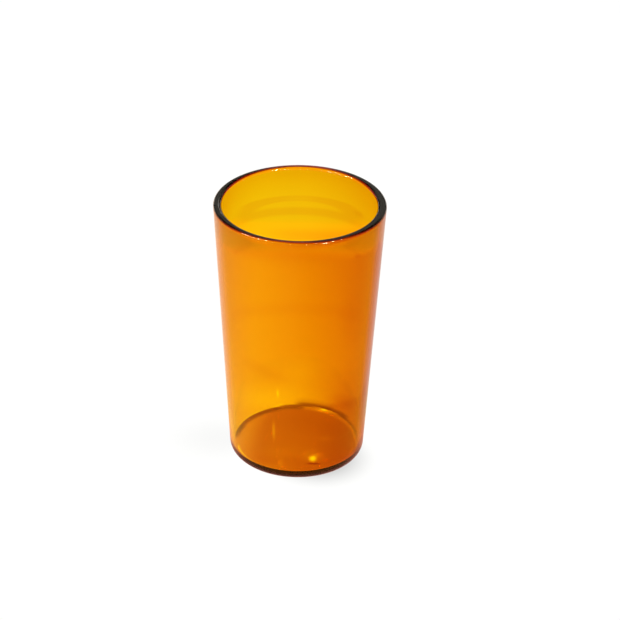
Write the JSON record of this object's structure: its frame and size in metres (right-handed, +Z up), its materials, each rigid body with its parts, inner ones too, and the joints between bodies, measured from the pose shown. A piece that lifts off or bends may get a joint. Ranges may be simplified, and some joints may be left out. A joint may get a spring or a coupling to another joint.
{
  "type": "drinking tumbler",
  "caption": "Tapered drinking tumbler of clear amber plastic, one moulded piece with an open mouth, a rounded rim and a flat floor.",
  "frame": {"origin": "centre of the foot, on the table the tumbler stands on", "axes": "+Z up along the tumbler's own axis, towards the mouth; round about Z, so +X and +Y are free"},
  "size_m": [0.078, 0.078, 0.1288],
  "materials": {
    "amber_plastic": "clear, gloss"
  },
  "bodies": {
    "root": {"tumbler_body": "amber_plastic"}
  },
  "joints": []
}
